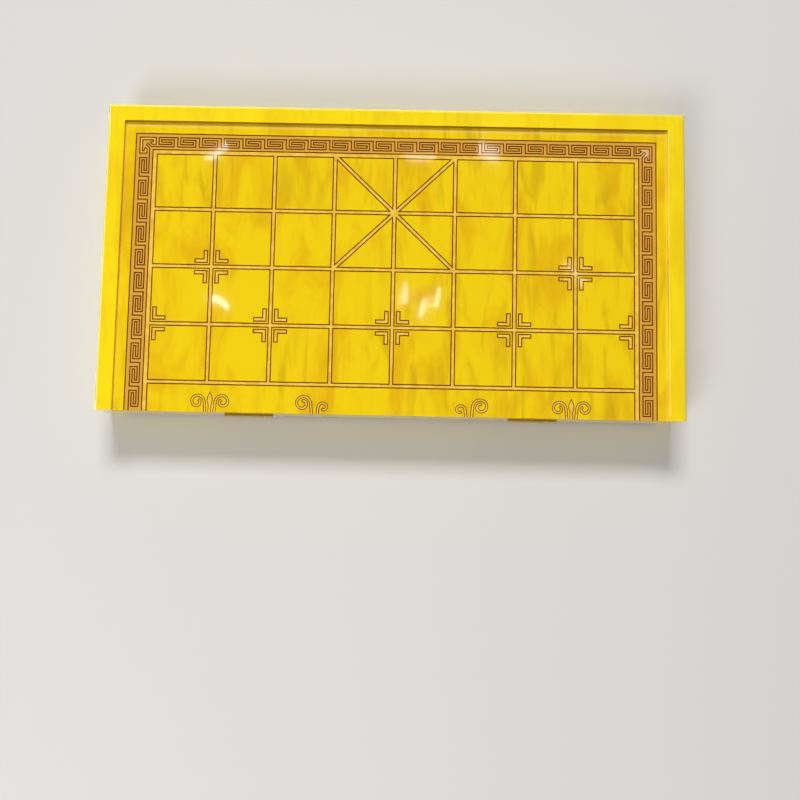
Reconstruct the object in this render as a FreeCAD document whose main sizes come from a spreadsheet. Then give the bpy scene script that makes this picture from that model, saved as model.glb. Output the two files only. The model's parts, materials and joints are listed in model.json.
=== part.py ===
import FreeCAD, Part
import os
import re

import Sketcher
from FreeCAD import Placement, Rotation, Vector

# A folding board for chinese chess: two shallow wooden trays joined by two butt hinges.
# Folded flat, X runs along the fold, Y away from it and Z up. The playing faces are outside.
# A half is drawn lying on its parting face: z is 0 there and grows towards the playing face.
# The lower half is the upper one turned half round about Y, as it is on the real board.

sizes = {
    # the playing grid of one half
    "column_pitch": 50,
    "row_pitch": 48,
    "river_width": 48,
    "board_margin": 40,
    "engraved_line_width": 0.7,
    "engraved_line_depth": 0.5,
    "grid_band_width": 3,
    "inner_border_distance": 2.3,
    "outer_border_distance": 16.2,
    "mark_arm_length": 10.2,
    "mark_arm_width": 2.9,
    "mark_distance": 3.4,
    # wooden parts of one half
    "half_thickness": 22,
    "rail_width": 14,
    "fold_rail_width": 14,
    "rim_height": 3,
    "rim_round": 1.5,
    "rim_inner_round": 0.6,
    "parting_bevel": 0.5,
    "panel_thickness": 4,
    "tongue_thickness": 2,
    "tongue_reach": 5,
    "groove_clearance": 0.1,
    # cloth inside the tray
    "lining_thickness": 0.8,
    "lining_seat_gap": 0.2,
    "lining_edge_gap": 1,
    # gaps between the halves
    "parting_gap": 0.3,
    "open_fold_gap": 0.3,
    # butt hinges
    "hinge_spacing": 236,
    "hinge_length": 40,
    "leaf_width": 11,
    "leaf_thickness": 1.2,
    "knuckle_radius": 2.2,
    "knuckle_gap": 0.2,
    "knuckle_clearance": 0.3,
    "pin_radius": 1,
    "pin_clearance": 0.05,
    "pin_overhang": 0.4,
    "mortise_clearance": 0.1,
    # screws of the hinges
    "screw_spacing": 24,
    "screw_inset": 4.2,
    "screw_head_radius": 2.2,
    "screw_radius": 1.1,
    "screw_length": 8,
    "screw_clearance": 0.05,
    # block magnets in the far rails
    "magnet_spacing": 364,
    "magnet_length": 12,
    "magnet_width": 5,
    "magnet_height": 3,
    "magnet_clearance": 0.1,
    # how far a cutter stands past what it cuts
    "overrun": 1,
}

# a hinge has an odd number of knuckles, the outer ones on the upper half
knuckle_count = 3

# an edge is taken to lie at a place when it is this share of the board's length from it
match_share = 1e-6

# places worked out from the sizes
places = {
    "half_length": "4 * column_pitch + board_margin",
    "half_depth": "(board_margin + 4 * row_pitch + river_width / 2) / 2",
    "opening_x": "half_length - rail_width",
    "opening_y": "half_depth - rail_width",
    "face_z": "half_thickness - rim_height",
    "panel_z": "face_z - panel_thickness",
    "tongue_z": "panel_z + tongue_thickness",
    "top_line_y": "half_depth - board_margin",
    "bank_line_y": "top_line_y - 4 * row_pitch",
    "axis_y": "-half_depth - open_fold_gap / 2",
    "axis_z": "-parting_gap / 2",
    "knuckle_length": f"hinge_length / {knuckle_count}",
    "plan_shift": "(knuckle_radius + open_fold_gap / 2) / 2",
    "upper_lift": "half_thickness + parting_gap",
}

doc = FreeCAD.newDocument("FoldingBoard")


def formula(text):
    # names of sizes and places in a formula become references to their cells
    def reference(found):
        name = found.group()
        return "Sizes." + name if name in sizes else "Places." + name if name in places else name

    return re.sub(r"[a-z][a-z_]*", reference, text)


def bind(thing, settings):
    for name, text in settings.items():
        thing.setExpression(name, formula(text))


# the sheet of sizes, and the places that follow from them
sheet = doc.addObject("Spreadsheet::Sheet", "Sizes")
for row, (name, value) in enumerate(sizes.items(), start=1):
    sheet.set(f"A{row}", name)
    sheet.set(f"B{row}", str(value))
    sheet.setAlias(f"B{row}", name)
doc.recompute()
worked = doc.addObject("App::VarSet", "Places")
for name, text in places.items():
    worked.addProperty("App::PropertyFloat", name)
    worked.setExpression(name, formula(text))
    doc.recompute()


def number(name):
    return getattr(worked, name) if name in places else float(sheet.get(name))


# a place apart works out any formula, so that a sketch starts with its right shape
reckoner = doc.addObject("App::VarSet", "Reckoner")
reckoner.addProperty("App::PropertyFloat", "answer")


def value_of(text):
    reckoner.setExpression("answer", formula(text))
    reckoner.recompute()
    return reckoner.answer


# sketches, pads and pockets

def new_body(name):
    return doc.addObject("PartDesign::Body", name)


def new_sketch(body, plane, offset="0"):
    sketch = body.newObject("Sketcher::SketchObject", f"{body.Name}_sketch")
    support = next(f for f in body.Origin.OriginFeatures if f.Role == plane)
    sketch.AttachmentSupport = [(support, "")]
    sketch.MapMode = "FlatFace"
    bind(sketch, {"AttachmentOffset.Base.z": offset})
    return sketch


def dimension(sketch, line, point, across, along):
    # ties one point of a sketch to two formulas, measured from the sketch's origin
    for kind, text in (("DistanceX", across), ("DistanceY", along)):
        value = value_of(text)
        index = sketch.addConstraint(Sketcher.Constraint(kind, -1, 1, line, point, value))
        bind(sketch, {f"Constraints[{index}]": text})


def add_outline(sketch, corners):
    # a closed outline whose corners are pairs of formulas
    spots = [Vector(value_of(a), value_of(b), 0) for a, b in corners]
    first = sketch.GeometryCount
    count = len(corners)
    for k in range(count):
        sketch.addGeometry(Part.LineSegment(spots[k], spots[(k + 1) % count]), False)
    for k in range(count):
        after = first + (k + 1) % count
        sketch.addConstraint(Sketcher.Constraint("Coincident", first + k, 2, after, 1))
    for k, (across, along) in enumerate(corners):
        dimension(sketch, first + k, 1, across, along)
    return sketch


def add_rectangle(sketch, low_x, low_y, high_x, high_y):
    corners = [(low_x, low_y), (high_x, low_y), (high_x, high_y), (low_x, high_y)]
    return add_outline(sketch, corners)


def add_circle(sketch, across, along, radius):
    centre = Vector(value_of(across), value_of(along), 0)
    circle = Part.Circle(centre, Vector(0, 0, 1), value_of(radius))
    line = sketch.addGeometry(circle, False)
    index = sketch.addConstraint(Sketcher.Constraint("Radius", line, value_of(radius)))
    bind(sketch, {f"Constraints[{index}]": radius})
    dimension(sketch, line, 3, across, along)
    return sketch


def pad(body, sketch, length, side="One side", backwards=False):
    feature = body.newObject("PartDesign::Pad", f"{body.Name}_pad")
    feature.Profile = sketch
    feature.SideType = side
    feature.Reversed = backwards
    bind(feature, {"Length": length})
    return feature


def pocket(body, sketch, length=None, side="One side", backwards=False):
    # a cut that goes through everything when no length is given
    feature = body.newObject("PartDesign::Pocket", f"{body.Name}_pocket")
    feature.Profile = sketch
    feature.SideType = side
    feature.Reversed = backwards
    if length is None:
        feature.Type = "ThroughAll"
        feature.Type2 = "ThroughAll"
    else:
        bind(feature, {"Length": length})
    return feature


def soften(body, kind, size, wanted):
    # a fillet or a chamfer on the edges of the body that pass a test
    doc.recompute()
    tip = body.Tip
    names = [f"Edge{k}" for k, edge in enumerate(tip.Shape.Edges, start=1) if wanted(edge)]
    feature = body.newObject(f"PartDesign::{kind}", f"{body.Name}_{kind.lower()}")
    feature.Base = (tip, names)
    bind(feature, {"Radius" if kind == "Fillet" else "Size": size})
    return feature


def runs_at(edge, **wanted):
    # true for an edge whose two ends both have the wanted x, y or z
    near = match_share * number("half_length")
    ends = [vertex.Point for vertex in edge.Vertexes]
    return all(abs(getattr(p, axis) - at) < near for p in ends for axis, at in wanted.items())


# where the screws of a hinge stand, on the parting face
screw_y = "leaf_width - half_depth - screw_inset"


def screw_places(side):
    return [f"{side}hinge_spacing / 2 {step} screw_spacing / 2" for step in "-+"]


# pieces of one half, in that half's own frame

def far_rail(name):
    # the long rim rail, mitred at both ends, with a groove for the panel's tongue
    body = new_body(name)
    plan = new_sketch(body, "XY_Plane")
    add_outline(plan, [
        ("-half_length", "half_depth"),
        ("-opening_x", "opening_y"),
        ("opening_x", "opening_y"),
        ("half_length", "half_depth"),
    ])
    pad(body, plan, "half_thickness")
    groove = new_sketch(body, "YZ_Plane")
    add_rectangle(groove, "opening_y - overrun", "panel_z - groove_clearance",
                  "opening_y + tongue_reach + groove_clearance", "tongue_z + groove_clearance")
    pocket(body, groove, side="Symmetric")
    seats = new_sketch(body, "XY_Plane")
    for side in ("-", ""):
        middle = f"{side}magnet_spacing / 2"
        add_rectangle(seats, f"{middle} - magnet_length / 2 - magnet_clearance",
                      "half_depth - (rail_width + magnet_width) / 2 - magnet_clearance",
                      f"{middle} + magnet_length / 2 + magnet_clearance",
                      "half_depth - (rail_width - magnet_width) / 2 + magnet_clearance")
    pocket(body, seats, "magnet_height + magnet_clearance", backwards=True)
    far, top = number("half_depth"), number("half_thickness")
    soften(body, "Fillet", "rim_round", lambda edge: runs_at(edge, y=far, z=top))
    near = number("opening_y")
    soften(body, "Fillet", "rim_inner_round", lambda edge: runs_at(edge, y=near, z=top))
    soften(body, "Chamfer", "parting_bevel", lambda edge: runs_at(edge, y=far, z=0))
    return body


def side_rail(name, side):
    # a short rim rail, mitred at its far end and square at the fold
    body = new_body(name)
    plan = new_sketch(body, "XY_Plane")
    add_outline(plan, [
        (f"{side}half_length", "-half_depth"),
        (f"{side}half_length", "half_depth"),
        (f"{side}opening_x", "opening_y"),
        (f"{side}opening_x", "-half_depth"),
    ])
    pad(body, plan, "half_thickness")
    groove = new_sketch(body, "XZ_Plane")
    add_rectangle(groove, f"{side}(opening_x - overrun)", "panel_z - groove_clearance",
                  f"{side}(opening_x + tongue_reach + groove_clearance)",
                  "tongue_z + groove_clearance")
    pocket(body, groove, side="Symmetric")
    sign = -1 if side else 1
    outer, inner = sign * number("half_length"), sign * number("opening_x")
    top = number("half_thickness")
    soften(body, "Fillet", "rim_round", lambda edge: runs_at(edge, x=outer, z=top))
    soften(body, "Fillet", "rim_inner_round", lambda edge: runs_at(edge, x=inner, z=top))
    soften(body, "Chamfer", "parting_bevel", lambda edge: runs_at(edge, x=outer, z=0))
    return body


def fold_rail(name):
    # the rail under the panel's free edge, let in for the hinges
    body = new_body(name)
    plan = new_sketch(body, "XY_Plane")
    add_rectangle(plan, "-opening_x", "-half_depth", "opening_x", "fold_rail_width - half_depth")
    pad(body, plan, "panel_z")
    mortises = new_sketch(body, "XY_Plane")
    holes = new_sketch(body, "XY_Plane")
    for side in ("-", ""):
        low = f"{side}hinge_spacing / 2 - hinge_length / 2 - mortise_clearance"
        high = f"{side}hinge_spacing / 2 + hinge_length / 2 + mortise_clearance"
        add_rectangle(mortises, low, "-half_depth - overrun", high,
                      "leaf_width - half_depth + mortise_clearance")
        for x in screw_places(side):
            add_circle(holes, x, screw_y, "screw_radius + screw_clearance")
    pocket(body, mortises, "leaf_thickness", backwards=True)
    pocket(body, holes, "screw_length + screw_clearance", backwards=True)
    for side in ("-", ""):
        recess = new_sketch(body, "YZ_Plane", f"{side}hinge_spacing / 2")
        add_circle(recess, "axis_y", "axis_z", "knuckle_radius + knuckle_clearance")
        pocket(body, recess, "hinge_length + 2 * pin_overhang + 2 * knuckle_clearance",
               side="Symmetric")
    return body


def plain_panel(name):
    # the playing panel before it is engraved: a plate with a tongue on three sides
    body = new_body(name)
    tongue = new_sketch(body, "XY_Plane", "panel_z")
    add_rectangle(tongue, "-opening_x - tongue_reach", "-half_depth",
                  "opening_x + tongue_reach", "opening_y + tongue_reach")
    pad(body, tongue, "tongue_thickness")
    plate = new_sketch(body, "XY_Plane", "panel_z")
    add_rectangle(plate, "-opening_x", "-half_depth", "opening_x", "opening_y")
    pad(body, plate, "panel_thickness")
    return body


def lining(name):
    # cloth laid on the inner face of the panel
    body = new_body(name)
    plan = new_sketch(body, "XY_Plane", "panel_z - lining_seat_gap")
    add_rectangle(plan, "lining_edge_gap - opening_x",
                  "fold_rail_width - half_depth + lining_edge_gap",
                  "opening_x - lining_edge_gap", "opening_y - lining_edge_gap")
    pad(body, plan, "lining_thickness", backwards=True)
    return body


# the engraved grid

def slab(face):
    # a flat figure on the playing face becomes a cutter as deep as an engraved line
    depth = number("engraved_line_depth")
    face.translate(Vector(0, 0, number("face_z") - depth))
    return face.extrude(Vector(0, 0, depth + number("overrun")))


def closed_wire(corners):
    spots = [Vector(x, y, 0) for x, y in corners]
    return Part.makePolygon(spots + spots[:1])


def line_round(corners):
    # an engraved line that follows a closed figure
    half_line = number("engraved_line_width") / 2
    wire = closed_wire(corners)
    outer = Part.Face(wire.makeOffset2D(half_line, 2))
    return slab(outer.cut(Part.Face(wire.makeOffset2D(-half_line, 2))))


def line_to_fold(half_width, top):
    # an engraved line up one side, across and down the other, open at the fold
    half_line = number("engraved_line_width") / 2
    bottom = -number("half_depth") - number("overrun")
    shapes = []
    for grow in (half_line, -half_line):
        x, y = half_width + grow, top + grow
        shapes.append(Part.Face(closed_wire([(-x, bottom), (-x, y), (x, y), (x, bottom)])))
    return slab(shapes[0].cut(shapes[1]))


def inset(corners, distance):
    # a figure drawn inside another, with all sides moved in alike
    wire = closed_wire(corners).makeOffset2D(-distance, 2)
    return [(vertex.X, vertex.Y) for vertex in wire.OrderedVertexes]


def station_mark(x, y, to_right, to_top):
    # one of the four small angles that mark a place where a piece starts
    near, long, wide = (number("mark_distance"), number("mark_arm_length"),
                        number("mark_arm_width"))
    shape = [(near, near), (near + long, near), (near + long, near + wide),
             (near + wide, near + wide), (near + wide, near + long), (near, near + long)]
    corners = [(x + to_right * a, y + to_top * b) for a, b in shape]
    return line_round(corners if to_right == to_top else corners[::-1])


def grid_cutters():
    # every engraved figure of one half: cells, palace, station marks and borders
    pitch_x, pitch_y = number("column_pitch"), number("row_pitch")
    top, half_band = number("top_line_y"), number("grid_band_width") / 2
    columns = [pitch_x * step for step in range(-4, 5)]
    rows = [top - pitch_y * step for step in range(5)]
    middle_x, middle_y = columns[4], rows[1]
    cutters = []
    for k in range(8):
        for j in range(4):
            low_x, high_x, low_y, high_y = columns[k], columns[k + 1], rows[j + 1], rows[j]
            square = [(low_x, low_y), (high_x, low_y), (high_x, high_y), (low_x, high_y)]
            if k in (3, 4) and j in (0, 1):
                # a palace cell is parted by the band that runs to the palace's middle
                nearest = min(range(4), key=lambda n: abs(square[n][0] - middle_x)
                              + abs(square[n][1] - middle_y))
                start, one, far, other = (square[(nearest + n) % 4] for n in range(4))
                for figure in ([start, one, far], [start, far, other]):
                    cutters.append(line_round(inset(figure, half_band)))
            else:
                cutters.append(line_round(inset(square, half_band)))
    marked = [(k, 2) for k in (1, 7)] + [(k, 3) for k in (0, 2, 4, 6, 8)]
    for k, j in marked:
        for to_right in (-1, 1):
            if 0 <= k + to_right <= 8:
                for to_top in (-1, 1):
                    cutters.append(station_mark(columns[k], rows[j], to_right, to_top))
    half_width = -columns[0]
    cutters.append(line_to_fold(half_width - half_band, rows[4] - half_band))
    for distance in ("inner_border_distance", "outer_border_distance"):
        cutters.append(line_to_fold(half_width + number(distance), top + number(distance)))
    return Part.makeCompound(cutters)


# hinge hardware, made of plain solids

def solid(kind, name, settings, turn=None):
    shape = doc.addObject(f"Part::{kind}", name)
    if turn:
        shape.Placement = Placement(Vector(0, 0, 0), turn)
    bind(shape, settings)
    return shape


def rod_along_x(name, radius, low_x, length, y="axis_y", z="axis_z"):
    return solid("Cylinder", name, {
        "Radius": radius,
        "Height": length,
        "Placement.Base.x": low_x,
        "Placement.Base.y": y,
        "Placement.Base.z": z,
    }, Rotation(Vector(0, 1, 0), 90))


def joined(name, shapes):
    fuse = doc.addObject("Part::MultiFuse", name)
    fuse.Shapes = shapes
    fuse.Refine = True
    return fuse


def cut(name, base, tool):
    result = doc.addObject("Part::Cut", name)
    result.Base = base
    result.Tool = tool
    result.Refine = True
    return result


def grouped(name, shapes):
    # several separate solids in one node
    group = doc.addObject("Part::Compound", name)
    group.Links = shapes
    return group


def screw_solid(name, x, grow="0"):
    # a countersunk screw, or its hole when it is grown by a clearance
    head = solid("Cone", f"{name}_head", {
        "Radius1": f"screw_head_radius + {grow}",
        "Radius2": f"screw_radius + {grow}",
        "Height": "leaf_thickness",
        "Placement.Base.x": x,
        "Placement.Base.y": screw_y,
    })
    shank = solid("Cylinder", f"{name}_shank", {
        "Radius": f"screw_radius + {grow}",
        "Height": "screw_length - leaf_thickness",
        "Placement.Base.x": x,
        "Placement.Base.y": screw_y,
        "Placement.Base.z": "leaf_thickness",
    })
    return joined(name, [head, shank])


def hinge_leaf(name, side, own, others):
    # a leaf: a plate let into the rail, with every second knuckle rolled round the pin
    low = f"{side}hinge_spacing / 2 - hinge_length / 2"
    plate = solid("Box", f"{name}_plate", {
        "Length": "hinge_length",
        "Width": "leaf_width - half_depth - axis_y",
        "Height": "leaf_thickness",
        "Placement.Base.x": low,
        "Placement.Base.y": "axis_y",
    })
    room = [rod_along_x(f"{name}_room_{k}", "knuckle_radius + knuckle_clearance",
                        f"{low} + {k} * knuckle_length - knuckle_gap / 2",
                        "knuckle_length + knuckle_gap") for k in others]
    knuckles = [rod_along_x(f"{name}_knuckle_{k}", "knuckle_radius",
                            f"{low} + {k} * knuckle_length + knuckle_gap / 2",
                            "knuckle_length - knuckle_gap") for k in own]
    notched = cut(f"{name}_notched", plate, grouped(f"{name}_rooms", room))
    rolled = joined(f"{name}_rolled", [notched, *knuckles])
    bore = rod_along_x(f"{name}_bore", "pin_radius + pin_clearance", f"{low} - overrun",
                       "hinge_length + 2 * overrun")
    holes = [screw_solid(f"{name}_hole_{k}", x, "screw_clearance")
             for k, x in enumerate(screw_places(side))]
    return cut(name, rolled, joined(f"{name}_holes", [bore, *holes]))


def hinge_pin(name, side):
    # a plain pin that stands a little out of the knuckles at each end
    low = f"{side}hinge_spacing / 2 - hinge_length / 2 - pin_overhang"
    rod = rod_along_x(f"{name}_rod", "pin_radius", low, "hinge_length + 2 * pin_overhang")
    return grouped(name, [rod])


def hinge_screws(name):
    shapes = [screw_solid(f"{name}_{word}_{k}", x)
              for word, side in (("left", "-"), ("right", ""))
              for k, x in enumerate(screw_places(side))]
    return grouped(name, shapes)


def magnets(name):
    blocks = [solid("Box", f"{name}_{word}", {
        "Length": "magnet_length",
        "Width": "magnet_width",
        "Height": "magnet_height",
        "Placement.Base.x": f"{side}magnet_spacing / 2 - magnet_length / 2",
        "Placement.Base.y": "half_depth - (rail_width + magnet_width) / 2",
    }) for word, side in (("left", "-"), ("right", ""))]
    return grouped(name, blocks)


# the two halves

subparts = []


def place(piece, label, upper):
    # puts a piece of a half where that half lies when the board is folded
    piece.Label = label
    if upper:
        bind(piece, {"Placement.Base.y": "plan_shift", "Placement.Base.z": "upper_lift"})
    else:
        piece.Placement = Placement(Vector(0, 0, 0), Rotation(Vector(0, 1, 0), 180))
        bind(piece, {"Placement.Base.y": "plan_shift", "Placement.Base.z": "half_thickness"})
    subparts.append(piece)


engraving = doc.addObject("Part::Feature", "grid_engraving")
engraving.Shape = grid_cutters()

for word in ("upper", "lower"):
    upper = word == "upper"
    left, right = ("-", "") if upper else ("", "-")
    place(far_rail(f"{word}_far"), f"{word}_far_rail", upper)
    place(side_rail(f"{word}_left", left), f"{word}_left_rail", upper)
    place(side_rail(f"{word}_right", right), f"{word}_right_rail", upper)
    place(fold_rail(f"{word}_fold"), f"{word}_fold_rail", upper)
    panel = cut(f"{word}_panel", plain_panel(f"{word}_panel_blank"), engraving)
    place(panel, f"{word}_playing_panel", upper)
    place(lining(f"{word}_cloth"), f"{word}_lining", upper)
    own, others = range(not upper, knuckle_count, 2), range(upper, knuckle_count, 2)
    for side_word, side in (("left", left), ("right", right)):
        leaf = hinge_leaf(f"{side_word}_{word}_leaf", side, own, others)
        place(leaf, f"{side_word}_hinge_{word}_leaf", upper)
        if upper:
            place(hinge_pin(f"{side_word}_pin", side), f"{side_word}_hinge_pin", upper)
    place(hinge_screws(f"{word}_screws"), f"{word}_hinge_screws", upper)
    place(magnets(f"{word}_blocks"), f"{word}_magnets", upper)

doc.recompute()

# nothing is written unless every object and every shape is sound
for thing in doc.Objects:
    if "Invalid" in thing.State or "Error" in thing.State:
        raise RuntimeError(f"{thing.Name} did not recompute: {thing.State}")
for piece in subparts:
    if piece.Shape.isNull() or not piece.Shape.isValid() or not piece.Shape.Solids:
        raise RuntimeError(f"{piece.Label} has no sound shape")

os.makedirs("parts", exist_ok=True)
for piece in subparts:
    piece.Shape.exportStep(f"parts/{piece.Label}.step")
    print(piece.Label, len(piece.Shape.Solids), "solids,", round(piece.Shape.Volume), "mm3")
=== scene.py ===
import json
import math

import bmesh
import bpy
from mathutils import Matrix, Vector


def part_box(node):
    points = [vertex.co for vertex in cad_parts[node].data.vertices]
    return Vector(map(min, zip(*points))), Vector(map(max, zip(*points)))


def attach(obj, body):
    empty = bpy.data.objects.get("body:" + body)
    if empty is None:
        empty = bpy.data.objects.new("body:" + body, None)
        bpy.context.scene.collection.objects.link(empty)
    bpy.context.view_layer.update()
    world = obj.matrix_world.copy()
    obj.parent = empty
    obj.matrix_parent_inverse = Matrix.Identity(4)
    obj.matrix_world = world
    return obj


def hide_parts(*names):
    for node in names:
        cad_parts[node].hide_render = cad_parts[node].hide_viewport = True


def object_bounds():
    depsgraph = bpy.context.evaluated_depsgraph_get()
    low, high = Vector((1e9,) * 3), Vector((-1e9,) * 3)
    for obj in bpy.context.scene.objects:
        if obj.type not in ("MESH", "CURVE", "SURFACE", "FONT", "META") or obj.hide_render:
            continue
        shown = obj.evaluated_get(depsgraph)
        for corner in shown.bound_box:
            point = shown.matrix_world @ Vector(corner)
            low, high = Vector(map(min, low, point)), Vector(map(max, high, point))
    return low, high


# A folding board for chinese chess, lying folded with its upper playing face up.
# The frame is in metres; flat figures are drawn in millimetres and shrunk when they are done.

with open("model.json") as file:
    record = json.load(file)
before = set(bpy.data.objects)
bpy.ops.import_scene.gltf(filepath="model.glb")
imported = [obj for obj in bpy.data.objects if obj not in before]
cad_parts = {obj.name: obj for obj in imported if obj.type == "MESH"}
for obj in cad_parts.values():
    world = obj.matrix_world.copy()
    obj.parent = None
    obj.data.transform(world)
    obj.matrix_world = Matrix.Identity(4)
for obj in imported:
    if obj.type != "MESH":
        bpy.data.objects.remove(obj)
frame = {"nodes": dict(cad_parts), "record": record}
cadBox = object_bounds()
scene = bpy.context.scene
scene.view_settings.view_transform = "Standard"
milli = 0.001
faceLow, faceHigh = (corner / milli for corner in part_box("upper_playing_panel"))
rimInner = -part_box("upper_left_rail")[1].x / milli
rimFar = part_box("upper_far_rail")[0].y / milli


# helpers for meshes

def toObject(bm, name, material=None, smooth=False):
    mesh = bpy.data.meshes.new(name)
    for face in bm.faces:
        face.smooth = smooth
    bm.to_mesh(mesh)
    bm.free()
    if material:
        mesh.materials.append(material)
    made = bpy.data.objects.new(name, mesh)
    scene.collection.objects.link(made)
    return made


def addModifier(piece, kind, **settings):
    modifier = piece.modifiers.new(kind.title(), kind)
    for name, value in settings.items():
        setattr(modifier, name, value)


def settle(piece):
    # turns the modifiers of a piece into its mesh
    bpy.context.view_layer.update()
    result = piece.evaluated_get(bpy.context.evaluated_depsgraph_get())
    mesh = bpy.data.meshes.new_from_object(result)
    piece.modifiers.clear()
    piece.data = mesh


def dropObject(piece):
    mesh = piece.data
    bpy.data.objects.remove(piece)
    bpy.data.meshes.remove(mesh)


def addBlock(bm, low, high):
    made = bmesh.ops.create_cube(bm, size=1)["verts"]
    low, high = Vector(low), Vector(high)
    bmesh.ops.scale(bm, verts=made, vec=high - low)
    bmesh.ops.translate(bm, verts=made, vec=(low + high) / 2)


# helpers for materials

def fill(tree, node, inputs):
    # links or sets each named input of a node
    for name, value in inputs.items():
        if isinstance(value, bpy.types.NodeSocket):
            tree.links.new(value, node.inputs[name])
        else:
            node.inputs[name].default_value = value


def addNode(tree, kind, inputs=None, **settings):
    node = tree.nodes.new("ShaderNode" + kind)
    for name, value in settings.items():
        setattr(node, name, value)
    fill(tree, node, inputs or {})
    return node


def rgb(red, green, blue):
    # a colour as it shows on a screen, 0 to 255, made linear for a shader
    shares = [value / 255 for value in (red, green, blue)]
    linear = [c / 12.92 if c <= 0.04045 else ((c + 0.055) / 1.055) ** 2.4 for c in shares]
    return (*linear, 1)


def mixColor(tree, factor, first, second):
    node = addNode(tree, "Mix", {0: factor, 6: first, 7: second}, data_type="RGBA")
    return node.outputs[2]


def calc(tree, operation, *values, clamp=False):
    node = addNode(tree, "Math", dict(enumerate(values)), operation=operation, use_clamp=clamp)
    return node.outputs[0]


def remap(tree, value, low, high, toLow=0.0, toHigh=1.0, smooth=True):
    node = addNode(tree, "MapRange", {
        "Value": value, "From Min": low, "From Max": high, "To Min": toLow, "To Max": toHigh,
    }, interpolation_type="SMOOTHSTEP" if smooth else "LINEAR")
    return node.outputs["Result"]


def noise(tree, vector, scale, detail=2.0, rough=0.5, distort=0.0):
    node = addNode(tree, "TexNoise", {
        "Vector": vector, "Scale": scale, "Detail": detail, "Roughness": rough,
        "Distortion": distort,
    })
    return node.outputs["Fac"]


def stretched(tree, vector, scale, turn=(0, 0, 0)):
    return addNode(tree, "Mapping", {"Vector": vector, "Scale": scale, "Rotation": turn}).outputs[0]


def newGroup(name, takes, gives):
    # a node group with named inputs (kind, name, value) and outputs (kind, name)
    tree = bpy.data.node_groups.new(name, "ShaderNodeTree")
    for kind, label, value in takes:
        socket = tree.interface.new_socket(label, in_out="INPUT", socket_type="NodeSocket" + kind)
        if value is not None:
            socket.default_value = value
    for kind, label in gives:
        tree.interface.new_socket(label, in_out="OUTPUT", socket_type="NodeSocket" + kind)
    start = tree.nodes.new("NodeGroupInput")
    end = tree.nodes.new("NodeGroupOutput")
    return tree, start.outputs, end.inputs


def placeGroup(tree, group, inputs):
    node = tree.nodes.new("ShaderNodeGroup")
    node.node_tree = group
    fill(tree, node, inputs)
    return node.outputs


def newMaterial(name):
    material = bpy.data.materials.new(name)
    material.use_nodes = True
    tree = material.node_tree
    shader = tree.nodes["Principled BSDF"]
    place = addNode(tree, "TexCoord").outputs["Object"]
    return material, tree, shader, place


def bump(tree, height, strength, distance):
    return addNode(tree, "Bump", {
        "Height": height, "Strength": strength, "Distance": distance,
    }).outputs["Normal"]


# the view of the photograph: camera, lamps and floor

view = {
    "place": (0.00996, -0.177, 0.76219),
    "turn": (4.997, 0.077, 1.155),  # degrees from looking straight down
    "lens": 40.05,
    "sensor": 36.0,
}


def makeCamera():
    data = bpy.data.cameras.new("camera")
    data.lens = view["lens"]
    data.sensor_width = view["sensor"]
    camera = bpy.data.objects.new("camera", data)
    camera.location = view["place"]
    camera.rotation_euler = [math.radians(angle) for angle in view["turn"]]
    scene.collection.objects.link(camera)
    scene.camera = camera


lamps = {
    "key": {"place": (-0.24, 3.04, 3.2), "size": (1.6, 0.96), "power": 132.0},
    "fill": {"place": (-0.62, -1.1, 1.3), "size": (0.75, 0.75), "power": 12.5},
}
edgeLamps = {  # light nothing, and are only mirrored in the rounded outer edges of the rim
    "far_edge": {"place": (-0.15, 1.6, 0.55), "size": (1.4, 0.33), "power": 40.0},
    "left_edge": {"place": (-1.6, 0.33, 0.55), "size": (1.1, 0.4), "power": 40.0},
}
ceilingLamps = {  # small lamps: strips seen as glints on the bands, spots as glows on the face
    "height": 1.5,
    "lamps": [  # across, along, length, depth and power of each
        (-0.469, 0.632, 0.06, 0.0045, 0.055),
        (0.433, 0.338, 0.07, 0.0045, 0.016),
        (0.609, 0.650, 0.014, 0.014, 0.009),
        (0.214, 0.629, 0.055, 0.0045, 0.03),
        (0.213, 0.652, 0.055, 0.02, 0.045),
        (0.042, 0.629, 0.07, 0.0045, 0.03),
        (-0.447, 0.247, 0.012, 0.05, 0.056),
        (0.010, 0.281, 0.012, 0.05, 0.03),
        (0.055, 0.241, 0.012, 0.05, 0.036),
        (0.084, 0.272, 0.012, 0.05, 0.03),
    ],
}
backdrop = {
    "light": 0.24,  # what lights the board from all round
    "shown": 0.84,  # what camera, mirrored and clear rays meet near the horizon
    "fadeHeights": (0.25, 0.6),
    "floorSize": 6.0,
    "floorColor": (0.72, 0.71, 0.69, 1),
    "floorRoughness": 0.75,
    "floorFade": (0.6, 2.2),  # metres from the board over which the floor turns into backdrop
}


def addLamp(name, place, size, power, lights=True, mirrored=True):
    data = bpy.data.lights.new(name, "AREA")
    data.shape = "RECTANGLE"
    data.size, data.size_y = size
    data.energy = power
    lamp = bpy.data.objects.new(name, data)
    lamp.location = place
    lamp.rotation_euler = (-Vector(place)).to_track_quat("-Z", "Y").to_euler()
    lamp.visible_diffuse = lights
    lamp.visible_glossy = mirrored
    scene.collection.objects.link(lamp)


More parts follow.
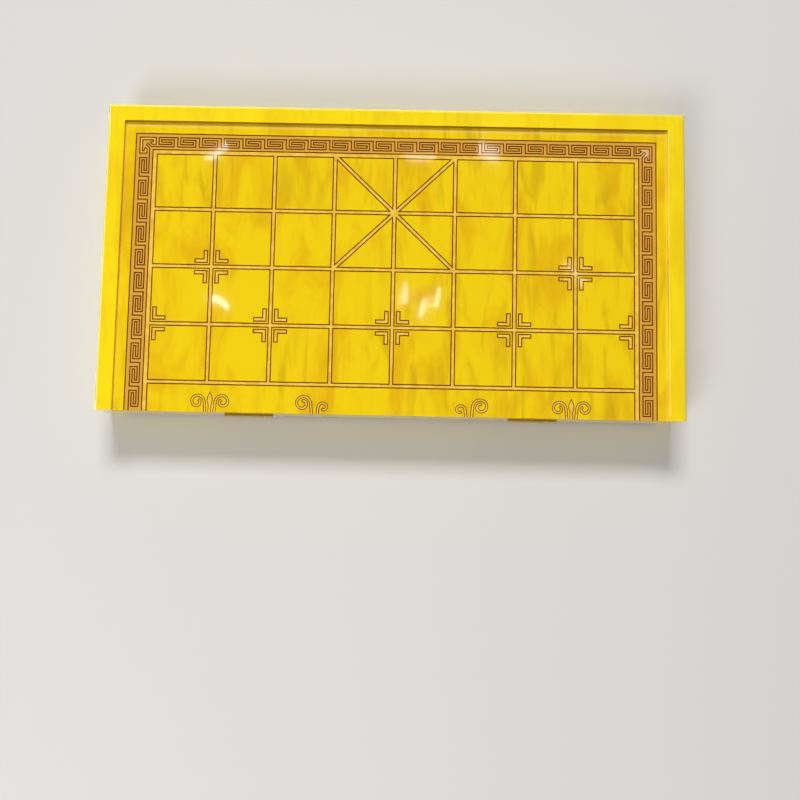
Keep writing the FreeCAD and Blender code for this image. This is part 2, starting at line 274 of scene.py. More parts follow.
def makeLight():
    for name, lamp in lamps.items():
        addLamp(name, lamp["place"], lamp["size"], lamp["power"], mirrored=False)
    for name, lamp in edgeLamps.items():
        addLamp(name, lamp["place"], lamp["size"], lamp["power"], lights=False)
    height = ceilingLamps["height"]
    for number, (x, y, length, depth, power) in enumerate(ceilingLamps["lamps"]):
        addLamp(f"ceiling_{number}", (x, y, height), (length, depth), power)
    surroundings = bpy.data.worlds.new("surroundings")
    surroundings.use_nodes = True
    tree = surroundings.node_tree
    ray = addNode(tree, "TexCoord").outputs["Generated"]
    rise = addNode(tree, "SeparateXYZ", {"Vector": ray}).outputs["Z"]
    excess = backdrop["shown"] - backdrop["light"]
    paler = remap(tree, rise, *backdrop["fadeHeights"], excess, 0.0)
    strength = calc(tree, "MULTIPLY_ADD", paler, seenRay(tree), backdrop["light"])
    fill(tree, tree.nodes["Background"], {"Color": (1, 1, 1, 1), "Strength": strength})
    scene.world = surroundings


def seenRay(tree):
    # 1 for rays that show the backdrop, 0 for those that only carry its light
    path = addNode(tree, "LightPath").outputs
    seen = calc(tree, "MAXIMUM", path["Is Camera Ray"], path["Is Glossy Ray"])
    return calc(tree, "MAXIMUM", seen, path["Is Transmission Ray"])


def makeFloor():
    material, tree, shader, place = newMaterial("floorPaint")
    distance = addNode(tree, "VectorMath", {0: place}, operation="LENGTH").outputs["Value"]
    fade = calc(tree, "MULTIPLY", remap(tree, distance, *backdrop["floorFade"]), seenRay(tree))
    fill(tree, shader, {
        "Base Color": mixColor(tree, fade, backdrop["floorColor"], (0, 0, 0, 1)),
        "Roughness": backdrop["floorRoughness"],
        "Specular IOR Level": 0.0,
        "Emission Color": (1, 1, 1, 1),
        "Emission Strength": calc(tree, "MULTIPLY", fade, backdrop["shown"]),
    })
    bm = bmesh.new()
    bmesh.ops.create_grid(bm, x_segments=1, y_segments=1, size=backdrop["floorSize"] / 2)
    floor = toObject(bm, "floor", material)


# node groups that several finishes share

mottleForm = {  # scales along X, Y and Z, and a lean in radians
    "clouds": (34, 15, 24),
    "cloudLean": (0, 0, 0.08),
    "feathers": (92, 17, 50),
    "featherLean": (0, 0, 0.1),
    "gaps": 9.0,
}


def makeMottle():
    # clouded lacquer: soft upright bands and feathered streaks in a bright ground
    tree, start, end = newGroup("mottle", [
        ("Vector", "Place", None),
        ("Color", "Ground", (1, 1, 0, 1)),
        ("Color", "Patch", (1, 0.5, 0, 1)),
        ("Color", "Streak", (0.6, 0.5, 0, 1)),
        ("Float", "Patch Amount", 0.5),
        ("Float", "Streak Amount", 0.5),
    ], [("Color", "Color")])
    wide = stretched(tree, start["Place"], mottleForm["clouds"], mottleForm["cloudLean"])
    wide = noise(tree, wide, 1.0, 3.0, 0.55, 0.9)
    patches = calc(tree, "MULTIPLY", remap(tree, wide, 0.42, 0.7), start["Patch Amount"])
    long = stretched(tree, start["Place"], mottleForm["feathers"], mottleForm["featherLean"])
    streaks = remap(tree, noise(tree, long, 1.0, 2.0, 0.5, 0.7), 0.46, 0.76)
    where = remap(tree, noise(tree, start["Place"], mottleForm["gaps"], 1.0), 0.34, 0.58)
    streaks = calc(tree, "MULTIPLY", calc(tree, "MULTIPLY", streaks, where), start["Streak Amount"])
    color = mixColor(tree, patches, start["Ground"], start["Patch"])
    color = mixColor(tree, streaks, color, start["Streak"])
    tree.links.new(color, end["Color"])
    return tree


coatForm = {
    "waves": (44, 30, 40),
    "peel": 420.0,
    "peelHeight": 0.03,  # as a share of the waves
    "scratches": (900, 22, 300),
    "scratchLean": (0, 0, 0.5),
    "specks": 900.0,
}


def makeLacquer():
    # a thick clear coat: slow waves, a fine orange peel, dust and light rubbing
    tree, start, end = newGroup("lacquer", [
        ("Vector", "Place", None),
        ("Float", "Gloss", 0.1),
        ("Float", "Rubbing", 0.1),
    ], [("Float", "Roughness"), ("Float", "Height")])
    slow = noise(tree, stretched(tree, start["Place"], coatForm["waves"]), 1.0, 1.0)
    peel = noise(tree, start["Place"], coatForm["peel"], 1.0)
    height = calc(tree, "ADD", slow, calc(tree, "MULTIPLY", peel, coatForm["peelHeight"]))
    tree.links.new(height, end["Height"])
    scratches = stretched(tree, start["Place"], coatForm["scratches"], coatForm["scratchLean"])
    scratches = noise(tree, scratches, 1.0, 2.0)
    specks = noise(tree, start["Place"], coatForm["specks"], 1.0)
    rubbed = calc(tree, "MULTIPLY", remap(tree, scratches, 0.62, 0.74), start["Rubbing"])
    dusty = calc(tree, "MULTIPLY", remap(tree, specks, 0.7, 0.78), start["Rubbing"])
    rough = calc(tree, "ADD", start["Gloss"], calc(tree, "MAXIMUM", rubbed, dusty))
    tree.links.new(rough, end["Roughness"])
    return tree


wearForm = {
    "lines": (120, 5000, 5000),
    "lineStrength": 0.3,
    "lineHeight": 0.00002,
    "spots": 150.0,
    "lineRoughness": 0.12,
    "tarnishRoughness": 0.3,
}


def makeMetalWear():
    # drawn or plated metal: fine lines along the piece, dull spots and a little tarnish
    tree, start, end = newGroup("metalWear", [
        ("Vector", "Place", None),
        ("Color", "Bright", (0.8, 0.6, 0.3, 1)),
        ("Color", "Dull", (0.3, 0.2, 0.1, 1)),
        ("Float", "Gloss", 0.25),
        ("Float", "Tarnish", 0.4),
    ], [("Color", "Color"), ("Float", "Roughness"), ("Float", "Height")])
    lines = noise(tree, stretched(tree, start["Place"], wearForm["lines"]), 1.0, 2.0)
    spots = remap(tree, noise(tree, start["Place"], wearForm["spots"], 4.0, 0.6), 0.42, 0.85)
    tarnish = calc(tree, "MULTIPLY", spots, start["Tarnish"])
    tree.links.new(mixColor(tree, tarnish, start["Bright"], start["Dull"]), end["Color"])
    drawn = remap(tree, lines, 0.3, 0.7, 0.0, wearForm["lineRoughness"])
    rough = calc(tree, "ADD", start["Gloss"], drawn)
    dull = calc(tree, "MULTIPLY", tarnish, wearForm["tarnishRoughness"])
    rough = calc(tree, "ADD", rough, dull)
    tree.links.new(rough, end["Roughness"])
    tree.links.new(lines, end["Height"])
    return tree


mottle = makeMottle()
lacquer = makeLacquer()
metalWear = makeMetalWear()


# finishes

railLook = {
    "ground": rgb(254, 224, 6),
    "patch": rgb(247, 204, 6),
    "streak": rgb(238, 200, 8),
    # painted shade: the wall that drops from the far rim to the face is darkened, as if it lay in
    # shade
    "stepPaintedShade": rgb(166, 120, 6),
    "patchAmount": 0.6,
    "streakAmount": 0.5,
    # painted highlight: the rounded outer arris is painted paler
    "paintedArrisHighlight": rgb(250, 240, 150),
    "paintedArrisHighlightAmount": 0.6,
    # painted highlight: a thin pale line along the mitres, where the rails meet at slightly
    # different levels
    "mitreHighlight": rgb(255, 236, 110),
    "mitreHighlightAmount": 0.4,
    "mitreHighlightWidth": 0.0006,
    "gloss": 0.1,
    "rubbing": 0.12,
    "stepRoughness": 0.4,  # added on the wall that drops from the far rim to the face
    "stepReach": 0.0002,
    "ripple": 0.00012,
    "rounding": 0.0032,  # width of the rounded outer arris, which is also painted paler as a highlight
    "fall": 0.0012,  # and how far it falls away there
    "arrisDepths": (0.0016, 0.0002),  # it fades in between these depths below the rim
}


def makeRailLacquer():
    material, tree, shader, place = newMaterial("lacqueredWood")
    axes = addNode(tree, "SeparateXYZ", {"Vector": place}).outputs
    across = calc(tree, "ABSOLUTE", axes["X"])
    toSide = calc(tree, "SUBTRACT", cadBox[1].x, across)
    toFar = calc(tree, "SUBTRACT", cadBox[1].y, axes["Y"])
    toEdge = calc(tree, "MINIMUM", toSide, toFar)
    share = calc(tree, "DIVIDE", toEdge, railLook["rounding"])
    arris = calc(tree, "SUBTRACT", 1.0, share, clamp=True)
    arris = calc(tree, "MULTIPLY", arris, arris)
    middle = (cadBox[0].z + cadBox[1].z) / 2
    fromMiddle = calc(tree, "ABSOLUTE", calc(tree, "SUBTRACT", axes["Z"], middle))
    heights = [middle - depth for depth in railLook["arrisDepths"]]
    arris = calc(tree, "MULTIPLY", arris, remap(tree, fromMiddle, *heights))
    fallen = calc(tree, "MULTIPLY", arris, -railLook["fall"])
    nearStep = calc(tree, "COMPARE", axes["Y"], rimFar * milli, railLook["stepReach"])
    onStep = calc(tree, "MULTIPLY", nearStep, calc(tree, "LESS_THAN", across, rimInner * milli))
    offMitre = calc(tree, "ABSOLUTE", calc(tree, "SUBTRACT", toSide, toFar))
    onMitreHighlight = remap(tree, offMitre, 0.0, railLook["mitreHighlightWidth"], railLook["mitreHighlightAmount"], 0.0)
    color = placeGroup(tree, mottle, {
        "Place": place,
        "Ground": railLook["ground"],
        "Patch": railLook["patch"],
        "Streak": railLook["streak"],
        "Patch Amount": railLook["patchAmount"],
        "Streak Amount": railLook["streakAmount"],
    })["Color"]
    # painted shade on the wall that drops from the far rim to the face
    color = mixColor(tree, onStep, color, railLook["stepPaintedShade"])
    # painted highlight along the mitres
    color = mixColor(tree, onMitreHighlight, color, railLook["mitreHighlight"])
    # painted highlight along the rounded outer arris
    paintedArrisHighlight = calc(tree, "MULTIPLY", arris, railLook["paintedArrisHighlightAmount"])
    color = mixColor(tree, paintedArrisHighlight, color, railLook["paintedArrisHighlight"])
    coat = placeGroup(tree, lacquer, {
        "Place": place,
        "Gloss": railLook["gloss"],
        "Rubbing": railLook["rubbing"],
    })
    height = calc(tree, "MULTIPLY_ADD", coat["Height"], railLook["ripple"], fallen)
    fill(tree, shader, {
        "Base Color": color,
        "Roughness": calc(tree, "MULTIPLY_ADD", onStep, railLook["stepRoughness"],
                          coat["Roughness"]),
        "Normal": bump(tree, height, 1.0, 1.0),
        "IOR": 1.5,
    })
    return material


faceLook = {
    "ground": rgb(245, 208, 6),
    "patch": rgb(228, 170, 3),
    "streak": rgb(206, 166, 6),
    "patchAmount": 0.7,
    "streakAmount": 0.7,
    "foot": rgb(252, 218, 128),  # painted highlight: a pale line along the foot of the rails
    "footHighlightFar": (0.003, 0.0018, 0.4),  # how far off its middle is, half its width, its amount
    "footHighlightSide": (0.001, 0.0018, 0.16),
    "band": rgb(248, 204, 80),
    "bandShade": rgb(236, 184, 54),
    "fretGround": rgb(220, 164, 58),
    "edge": rgb(168, 92, 4),
    "groove": rgb(132, 50, 0),
    "grooveDark": rgb(106, 34, 0),
    "grain": 160.0,
    "gloss": 0.045,
    "rubbing": 0.1,
    "specular": 0.34,
    "ripple": 0.0001,
    "calm": 0.85,  # how much flatter the waves of the coat lie on what is engraved
    "ridges": (40, 800, 40),
    "ridgeHeight": 0.05,
}


# what the engraving attribute says of a face; 0 is the plain face
engravingLevels = {"band": 1, "fretGround": 2, "edge": 3, "line": 4}


def footHighlightMask(tree, distance, middle, halfWidth, amount):
    off = calc(tree, "ABSOLUTE", calc(tree, "SUBTRACT", distance, middle))
    return remap(tree, off, 0.0, halfWidth, amount, 0.0)


def reaches(tree, engraving, name):
    # 1 where the attribute is at the named level or above it
    return calc(tree, "GREATER_THAN", engraving, engravingLevels[name] - 0.5)


def makeFaceLacquer():
    material, tree, shader, place = newMaterial("playingFace")
    color = placeGroup(tree, mottle, {
        "Place": place,
        "Ground": faceLook["ground"],
        "Patch": faceLook["patch"],
        "Streak": faceLook["streak"],
        "Patch Amount": faceLook["patchAmount"],
        "Streak Amount": faceLook["streakAmount"],
    })["Color"]
    engraving = addNode(tree, "Attribute", attribute_name="engraving").outputs["Fac"]
    axes = addNode(tree, "SeparateXYZ", {"Vector": place}).outputs
    toSide = calc(tree, "SUBTRACT", rimInner * milli, calc(tree, "ABSOLUTE", axes["X"]))
    toFar = calc(tree, "SUBTRACT", rimFar * milli, axes["Y"])
    # painted highlight along the foot of the rails, strongest at the far rail
    atFar = footHighlightMask(tree, toFar, *faceLook["footHighlightFar"])
    atSide = footHighlightMask(tree, toSide, *faceLook["footHighlightSide"])
    color = mixColor(tree, calc(tree, "MAXIMUM", atFar, atSide), color, faceLook["foot"])
    grain = remap(tree, noise(tree, place, faceLook["grain"], 3.0), 0.35, 0.65)
    band = mixColor(tree, grain, faceLook["band"], faceLook["bandShade"])
    line = mixColor(tree, grain, faceLook["groove"], faceLook["grooveDark"])
    shades = {
        "band": band,
        "fretGround": faceLook["fretGround"],
        "edge": faceLook["edge"],
        "line": line,
    }
    for name, shade in shades.items():
        color = mixColor(tree, reaches(tree, engraving, name), color, shade)
    coat = placeGroup(tree, lacquer, {
        "Place": place,
        "Gloss": faceLook["gloss"],
        "Rubbing": faceLook["rubbing"],
    })
    onBand = reaches(tree, engraving, "band")
    ridges = noise(tree, stretched(tree, place, faceLook["ridges"]), 1.0, 1.0)
    ridges = calc(tree, "MULTIPLY", ridges, calc(tree, "MULTIPLY", onBand, faceLook["ridgeHeight"]))
    calm = calc(tree, "MULTIPLY_ADD", onBand, -faceLook["calm"], 1.0)
    waves = calc(tree, "MULTIPLY", coat["Height"], calm)
    height = calc(tree, "ADD", waves, ridges)
    fill(tree, shader, {
        "Base Color": color,
        "Roughness": coat["Roughness"],
        "Specular IOR Level": faceLook["specular"],
        "Normal": bump(tree, height, 1.0, faceLook["ripple"]),
        "IOR": 1.5,
    })
    return material


metalLooks = {
    "hinge_brass": {
        "bright": rgb(214, 176, 96),
        "dull": rgb(122, 88, 40),
        "gloss": 0.22,
        "tarnish": 0.5,
    },
    "pin_steel": {
        "bright": rgb(196, 196, 198),
        "dull": rgb(120, 116, 112),
        "gloss": 0.25,
        "tarnish": 0.3,
    },
    "magnet_plating": {
        "bright": rgb(206, 206, 204),
        "dull": rgb(140, 136, 130),
        "gloss": 0.12,
        "tarnish": 0.25,
    },
}


def makeMetal(name, look):
    material, tree, shader, place = newMaterial(name)
    wear = placeGroup(tree, metalWear, {
        "Place": place,
        "Bright": look["bright"],
        "Dull": look["dull"],
        "Gloss": look["gloss"],
        "Tarnish": look["tarnish"],
    })
    fill(tree, shader, {
        "Base Color": wear["Color"],
        "Roughness": wear["Roughness"],
        "Metallic": 1.0,
        "Normal": bump(tree, wear["Height"], wearForm["lineStrength"], wearForm["lineHeight"]),
    })
    return material


clothLook = {
    "pile": rgb(128, 20, 26),
    "pileShade": rgb(112, 15, 21),
    "pileLight": rgb(150, 34, 38),
    "brushing": (60, 24, 40),
    "pileScale": 2600.0,
    "pileHeight": 0.0002,
}


def makeCloth():
    material, tree, shader, place = newMaterial("liningCloth")
    brushed = noise(tree, stretched(tree, place, clothLook["brushing"]), 1.0, 3.0)
    brushed = remap(tree, brushed, 0.35, 0.65)
    pile = noise(tree, place, clothLook["pileScale"], 1.0)
    color = mixColor(tree, brushed, clothLook["pileShade"], clothLook["pile"])
    color = mixColor(tree, remap(tree, pile, 0.5, 0.8), color, clothLook["pileLight"])
    fill(tree, shader, {
        "Base Color": color,
        "Roughness": 0.95,
        "Sheen Weight": 0.3,
        "Sheen Roughness": 0.5,
        "Sheen Tint": clothLook["pileLight"],
        "Normal": bump(tree, pile, 0.5, clothLook["pileHeight"]),
    })
    return material


finishes = {
    "lacquered_wood": makeRailLacquer(),
    "playing_face": makeFaceLacquer(),
    "lining_cloth": makeCloth(),
}
for slotName, metalLook in metalLooks.items():
    finishes[slotName] = makeMetal(slotName, metalLook)
print("finishes made")


# the engraved playing face, drawn flat in millimetres with the fold towards -Y

grid = {
    "columnPitch": 50.0,
    "rowPitch": 48.0,
    "columns": 8,
    "rows": 4,
    "margin": 40.0,
    "tongue": 2.0,  # its thickness
    "band": 3.0,
    "markArm": 10.2,
    "markWidth": 2.9,
    "markDistance": 3.4,
    "innerBorder": 2.3,
    "outerBorder": 16.05,
    "sideBorder": 16.65,
    "line": 0.92,
    "depth": 0.5,
    "edge": 0.16,
    "marks": {2: (-3, 3), 3: (-4, -2, 0, 2, 4)},  # the columns of the marks on each marked row
    "overrun": 2.0,  # how far figures run on past the fold
    "clear": 1.0,  # how far a cutter stands out of the face
    "touch": 0.01,  # heights nearer than this are the same
}
fret = {  # one line that winds through five rows, from a cut corner to the next corner or the fold
    "row": 1.98,
    "line": 0.98,
    "offset": (5.2, 4.9),  # from the outer grid lines to the inner row, at the sides and at the top
    "top": {"count": 22, "start": 7.6, "end": 22.4, "unit": 12.6, "riser": 15.65},
    "side": {"count": 11, "start": 9.6, "end": 16.35, "unit": 13.0, "riser": 16.0},
    "cut": [(-2.2, 3.2), (1.5, 0)],
    "corner": [(8.2, 7.9), (-5.1, 7.9), (-5.1, 2), (-2.1, 2), (-0.5, 3.5), (-1.2, 4.1), (-2.8, 4.1),
               (-2.8, 5.8), (6, 5.8), (6, -3.9), (4.4, -3.9), (4.4, -2.4), (3.7, -1), (2.2, -2.4),
               (2.2, -5.8), (8.2, -5.8)],
}
halfGrid = grid["columnPitch"] * grid["columns"] / 2
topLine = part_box("upper_far_rail")[1].y / milli - grid["margin"]
bankLine = topLine - grid["rowPitch"] * grid["rows"]
foldEdge = faceLow.y


def addCorners(bm, points):
    return [bm.verts.new((x, y, 0)) for x, y in points]


def addOpenLine(bm, points):
    corners = addCorners(bm, points)
    for first, second in zip(corners, corners[1:]):
        bm.edges.new((first, second))


def addFigure(bm, points):
    return bm.faces.new(addCorners(bm, points))


def addBox(bm, halfWidth, top):
    # a frame round the grid whose foot lies past the fold edge
    bottom = foldEdge - grid["overrun"]
    addFigure(bm, [(-halfWidth, bottom), (halfWidth, bottom), (halfWidth, top), (-halfWidth, top)])


def drawCells(bm):
    # cells shrunk by half a band, with the palace's four parted by its diagonals
    cells = bmesh.new()
    bmesh.ops.create_grid(cells, x_segments=grid["columns"], y_segments=grid["rows"], size=0.5)
    height = grid["rowPitch"] * grid["rows"]
    bmesh.ops.scale(cells, verts=cells.verts[:], vec=(2 * halfGrid, height, 1))
    bmesh.ops.translate(cells, verts=cells.verts[:], vec=(0, topLine - height / 2, 0))
    middle = Vector((0, topLine - grid["rowPitch"], 0))
    centre = min(cells.verts, key=lambda vert: (vert.co - middle).length)
    for face in list(centre.link_faces):
        far = max(face.verts, key=lambda vert: (vert.co - middle).length)
        bmesh.ops.connect_verts(cells, verts=[centre, far])
    rims = bmesh.ops.inset_individual(cells, faces=cells.faces[:], thickness=grid["band"] / 2,
                                      use_even_offset=True)["faces"]
    bmesh.ops.delete(cells, geom=rims, context="FACES")
    for face in cells.faces:
        addFigure(bm, [(vert.co.x, vert.co.y) for vert in face.verts])
    cells.free()


def drawMarks(bm):
    # four small angles round each place where a cannon or a soldier starts
    near, far = grid["markDistance"], grid["markDistance"] + grid["markArm"]
    inner = near + grid["markWidth"]
    angle = [(near, near), (far, near), (far, inner), (inner, inner), (inner, far), (near, far)]
    spots = [(column, row) for row, columns in grid["marks"].items() for column in columns]
    for column, row in spots:
        for across in (-1, 1):
            if abs(column + across) > grid["columns"] / 2:
                continue
            for up in (-1, 1):
                x, y = column * grid["columnPitch"], topLine - row * grid["rowPitch"]
                addFigure(bm, [(x + across * a, y + up * b) for a, b in angle])


def fretRun(run, length):
    # points along one side and out from the grid
    row, unit, riser = fret["row"], run["unit"], run["riser"]
    pitch = (length - run["start"] - run["end"]) / (run["count"] - 1)
    points = fret["cut"][:]
    for step in range(run["count"]):
        here = run["start"] + step * pitch
        turns = [(unit, 0), (unit, 3), (row, 3), (row, 2), (unit - row, 2), (unit - row, 1), (0, 1),
                 (0, 4), (riser, 4), (riser, 0)]
        points += [(here + along, level * row) for along, level in turns]
    return points


def drawFret(bm):
    cornerX, cornerY = halfGrid + fret["offset"][0], topLine + fret["offset"][1]
    points = fretRun(fret["top"], 2 * cornerX)
    points += [(2 * cornerX - along, out) for along, out in fret["cut"][::-1]]
    addOpenLine(bm, [(along - cornerX, cornerY + out) for along, out in points])
    length = cornerY - foldEdge
    points = fretRun(fret["side"], length)[:-2] + [(length + grid["overrun"], 4 * fret["row"])]
    for side in (-1, 1):
        addOpenLine(bm, [(side * (cornerX + out), cornerY - along) for along, out in points])
        addFigure(bm, [(side * (cornerX + across), cornerY + up) for across, up in fret["corner"]])


def drawBorders(bm):
    half = grid["band"] / 2
    addBox(bm, halfGrid - half, bankLine - half)
    addBox(bm, halfGrid + grid["innerBorder"], topLine + grid["innerBorder"])
    addBox(bm, halfGrid + grid["sideBorder"], topLine + grid["outerBorder"])


river = {
    # kind, middle and side of each figure
    "figures": [("twin", -147.0, 1), ("wave", -65.0, 1), ("wave", 67.0, -1), ("twin", 147.0, 1)],
    "stroke": 1.9,
    "line": 0.6,
    "steps": 10,  # points in a half turn
    "tailShares": [(-1.16, -0.25), (-1.08, 0.4)],  # of a scroll's radius and of its height
    "bud": [(1.2, 0.0), (1.1, 5.6), (2.2, 9.4), (1.7, 12.4)],  # half width and height
    "budTip": 16.2,
}
clouds = {  # each scroll: centre across and up from the fold, outer and inner radius, turns, side
    "twin": [(10.4, 8.4, 5.9, 1.9, 1.15, 1), (-10.4, 8.4, 5.9, 1.9, 1.15, -1)],
    "wave": [(-6.4, 8.4, 6.6, 2.0, 1.3, -1), (10.4, 5.6, 4.2, 1.6, 0.85, 1)],
}


def scrollEdge(centre, radii, turns, side, shift):
    # one edge of a stroke that rises from the fold and winds in over its own middle
    count = round(turns * 2 * river["steps"])
    points = []
    for across, up in river["tailShares"]:
        points.append((across * radii[0] - shift, up * centre[1]))
    for step in range(count + 1):
        share = step / count
        radius = radii[0] + (radii[1] - radii[0]) * share + shift
        angle = math.pi - share * turns * 2 * math.pi
        points.append((radius * math.cos(angle), centre[1] + radius * math.sin(angle)))
    return [(centre[0] + side * x, y) for x, y in points]


def drawRiver(bm):
    # four figures of cloud scrolls, each cut by the fold
    half = river["stroke"] / 2
    for kind, x, flip in river["figures"]:
        for across, up, outer, inner, turns, side in clouds[kind]:
            edges = [scrollEdge((across, up), (outer, inner), turns, side, shift)
                     for shift in (half, -half)]
            addFigure(bm, [(x + flip * a, foldEdge + b) for a, b in edges[0] + edges[1][::-1]])
        if kind == "twin":
            right = [(river["bud"][0][0], -grid["overrun"]), *river["bud"]]
            left = [(-a, b) for a, b in right[::-1]]
            outline = [*right, (0, river["budTip"]), *left]
            addFigure(bm, [(x + a, foldEdge + b) for a, b in outline])


def makeCutter(name, draw, width):
    # lines become upright walls as thick as a line, standing from its floor past the face
    bm = bmesh.new()
    for step in draw:
        step(bm)
    bmesh.ops.delete(bm, geom=bm.faces[:], context="FACES_ONLY")
    bmesh.ops.translate(bm, verts=bm.verts[:], vec=(0, 0, faceHigh.z - grid["depth"]))
    drawn = bmesh.ops.extrude_edge_only(bm, edges=bm.edges[:])["geom"]
    raised = [item for item in drawn if isinstance(item, bmesh.types.BMVert)]
    bmesh.ops.translate(bm, verts=raised, vec=(0, 0, grid["depth"] + grid["clear"]))
    bmesh.ops.recalc_face_normals(bm, faces=bm.faces[:])
    cutter = toObject(bm, name)
    addModifier(cutter, "SOLIDIFY", thickness=width, offset=0, use_even_offset=True)
    return cutter


def makePanelBlank():
    # a plate with a tongue on three sides, which the rails hold
    bm = bmesh.new()
    tongue = grid["tongue"]
    addBlock(bm, faceLow, (faceHigh.x, faceHigh.y, faceLow.z + tongue))
    plate = []
    for place, normal in (((-rimInner, 0, 0), (1, 0, 0)), ((rimInner, 0, 0), (1, 0, 0)),
                          ((0, rimFar, 0), (0, 1, 0))):
        bmesh.ops.bisect_plane(bm, geom=bm.faces[:] + bm.edges[:] + bm.verts[:],
                               plane_co=place, plane_no=normal)
    for face in bm.faces:
        spot = face.calc_center_median()
        if face.normal.z > 0.5 and abs(spot.x) < rimInner and spot.y < rimFar:
            plate.append(face)
    grown = bmesh.ops.extrude_face_region(bm, geom=plate)["geom"]
    raised = [item for item in grown if isinstance(item, bmesh.types.BMVert)]
    bmesh.ops.translate(bm, verts=raised, vec=(0, 0, faceHigh.z - faceLow.z - tongue))
    bmesh.ops.delete(bm, geom=plate, context="FACES")
    bmesh.ops.recalc_face_normals(bm, faces=bm.faces[:])
    return toObject(bm, "panel_blank")


def islands(faces):
    # groups of faces that hang together, in the same order each time
    left = dict.fromkeys(faces)
    while left:
        group, queue = [], [left.popitem()[0]]
        while queue:
            face = queue.pop()
            group.append(face)
            for edge in face.edges:
                for other in edge.link_faces:
                    if other in left:
                        del left[other]
                        queue.append(other)
        yield group


def finishPanel(bm):
    # breaks the edges of the lines and says of each face what it is
    top, floor, touch = faceHigh.z, faceHigh.z - grid["depth"], grid["touch"]

    def isTop(face):
        return face.normal.z > 0.99 and abs(face.calc_center_median().z - top) < touch

    def isWall(face):
        spot = face.calc_center_median()
        return (abs(face.normal.z) < 0.1 and floor - touch < spot.z < top - touch
                and spot.y > foldEdge + touch)

    arrises = [edge for edge in bm.edges if len(edge.link_faces) == 2
               and any(isTop(face) for face in edge.link_faces)
               and any(isWall(face) for face in edge.link_faces)]
    bmesh.ops.bevel(bm, geom=arrises, offset=grid["edge"], affect="EDGES", segments=1,
                    profile=0.5, material=-1, clamp_overlap=True)
    bm.normal_update()
    layer = bm.faces.layers.float.new("engraving")
    for face in bm.faces:
        spot = face.calc_center_median()
        inside = spot.y > foldEdge + touch and floor - touch < spot.z < top - touch / 2
        if inside and abs(spot.x) < rimInner - touch:
            slanted = 0.2 < face.normal.z < 0.95
            face[layer] = engravingLevels["edge" if slanted else "line"]
    outer = halfGrid + grid["sideBorder"]
    for group in islands(face for face in bm.faces if isTop(face)):
        reach = max(vert.co.x for face in group for vert in face.verts)
        area = sum(face.calc_area() for face in group)
        isFrame = halfGrid < reach < outer and area > grid["columnPitch"] * grid["rowPitch"]
        isBand = isFrame or area < grid["markArm"] * grid["markArm"]
        for face in group:
            if isBand:
                inFret = reach > halfGrid + grid["innerBorder"] and abs(reach) < outer
                face[layer] = engravingLevels["fretGround" if inFret else "band"]


def makePanels():
    blank = makePanelBlank()
    cutters = [
        makeCutter("grid_lines", [drawCells, drawMarks, drawBorders], grid["line"]),
        makeCutter("fret_lines", [drawFret], fret["line"]),
        makeCutter("river_lines", [drawRiver], river["line"]),
    ]
    for cutter in cutters:
        addModifier(blank, "BOOLEAN", object=cutter, operation="DIFFERENCE", solver="MANIFOLD")
    settle(blank)
    bm = bmesh.new()
    bm.from_mesh(blank.data)
    for cutter in cutters + [blank]:
        dropObject(cutter)
    finishPanel(bm)
    bmesh.ops.scale(bm, verts=bm.verts[:], vec=(milli, milli, milli))
    other = bm.copy()
    middle = Vector((0, 0, (cadBox[0].z + cadBox[1].z) / 2))
    turn = Matrix.Translation(middle) @ Matrix.Rotation(math.pi, 4, "Y")
    turn = turn @ Matrix.Translation(-middle)
    bmesh.ops.transform(other, verts=other.verts[:], matrix=turn)
    for half, made in (("upper", bm), ("lower", other)):
        panel = toObject(made, f"{half}_engraved_panel", finishes["playing_face"])
        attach(panel, f"{half}_half")
        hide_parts(f"{half}_playing_panel")
        print(panel.name, len(panel.data.polygons), "faces")


# the cloth in the trays

lining = {
    "columns": 90,
    "rows": 45,
    "thickness": 0.0006,
    "wave": 0.00012,
    "ripples": (61, 83),  # how fast it waves along and across, in radians a metre
}


def makeLining(half):
    low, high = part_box(f"{half}_lining")
    size, middle = high - low, (low + high) / 2
    bm = bmesh.new()
    bmesh.ops.create_grid(bm, x_segments=lining["columns"], y_segments=lining["rows"], size=0.5)
    bmesh.ops.scale(bm, verts=bm.verts[:], vec=(size.x, size.y, 1))
    bmesh.ops.translate(bm, verts=bm.verts[:], vec=middle)
    along, across = lining["ripples"]
    for vert in bm.verts:
        vert.co.z += lining["wave"] * math.sin(vert.co.x * along) * math.sin(vert.co.y * across)
    cloth = toObject(bm, f"{half}_lining_cloth", finishes["lining_cloth"], smooth=True)
    addModifier(cloth, "SOLIDIFY", thickness=lining["thickness"], offset=0)
    settle(cloth)
    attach(cloth, f"{half}_half")
    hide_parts(f"{half}_lining")


# the screws of the hinges

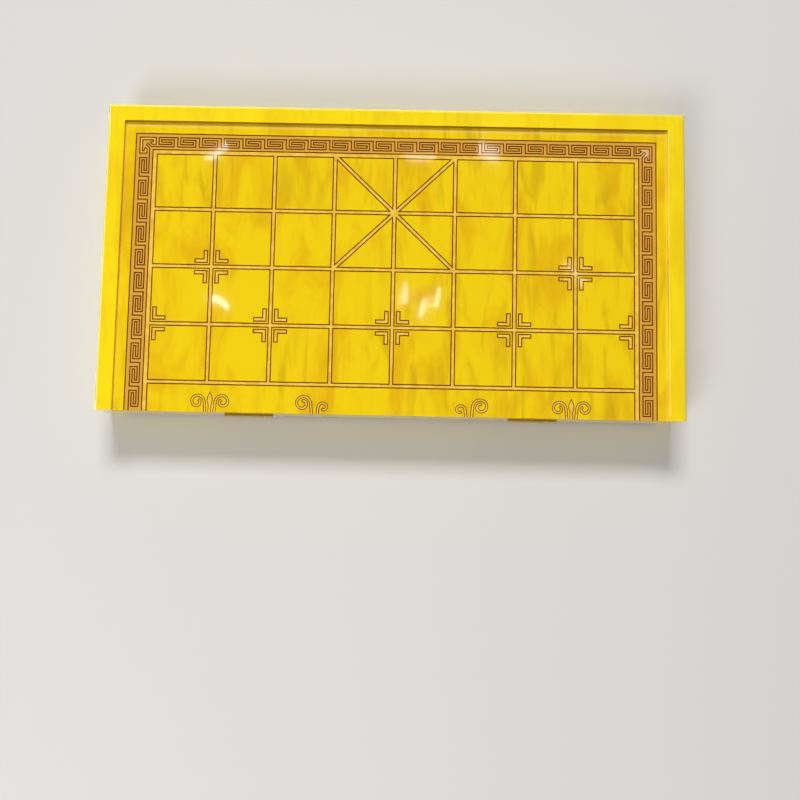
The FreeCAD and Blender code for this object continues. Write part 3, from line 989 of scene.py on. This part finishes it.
screw = {
    "crossArm": 0.0029,
    "crossWidth": 0.0007,
    "crossDepth": 0.0007,
    "turns": [12, 57, -24, 33],  # degrees
    "touch": 0.00001,  # points nearer than this are the same
}


def makeScrews(half):
    # the plain screws with a cross let into each head
    name = f"{half}_hinge_screws"
    bm = bmesh.new()
    bm.from_mesh(frame["nodes"][name].data)
    bmesh.ops.remove_doubles(bm, verts=bm.verts[:], dist=screw["touch"])
    low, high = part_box(name)
    headHeight = low.z if half == "upper" else high.z
    crosses = bmesh.new()
    for group, degrees in zip(list(islands(bm.faces)), screw["turns"]):
        spots = [vert.co for face in group for vert in face.verts
                 if abs(vert.co.z - headHeight) < screw["touch"]]
        middle = sum(spots, Vector()) / len(spots)
        addCross(crosses, middle, math.radians(degrees))
    cutter = toObject(crosses, f"{half}_screw_crosses")
    screws = toObject(bm, f"{half}_cross_screws", finishes["hinge_brass"])
    addModifier(screws, "BOOLEAN", object=cutter, operation="DIFFERENCE", solver="MANIFOLD")
    settle(screws)
    dropObject(cutter)
    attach(screws, f"{half}_half")
    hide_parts(name)
    print(screws.name, len(screws.data.polygons), "faces")


def addCross(bm, middle, turn):
    arm, side = screw["crossArm"] / 2, screw["crossWidth"] / 2
    quarter = [(arm, -side), (arm, side), (side, side)]
    corners = []
    for step in range(4):
        spin = Matrix.Rotation(turn + step * math.pi / 2, 3, "Z")
        for x, y in quarter:
            corners.append(bm.verts.new(middle + spin @ Vector((x, y, -screw["crossDepth"]))))
    foot = bm.faces.new(corners)
    grown = bmesh.ops.extrude_face_region(bm, geom=[foot])["geom"]
    raised = [item for item in grown if isinstance(item, bmesh.types.BMVert)]
    bmesh.ops.translate(bm, verts=raised, vec=(0, 0, 2 * screw["crossDepth"]))
    bmesh.ops.recalc_face_normals(bm, faces=bm.faces[:])


makeCamera()
makeLight()
makeFloor()
print("view, light and floor made")
for part in frame["record"]["subparts"]:
    node = frame["nodes"][part["node"]]
    for slot in node.material_slots:
        slot.material = finishes[part["material_slot"]]
makePanels()
for word in ("upper", "lower"):
    makeLining(word)
    makeScrews(word)
print("linings and screws in place")
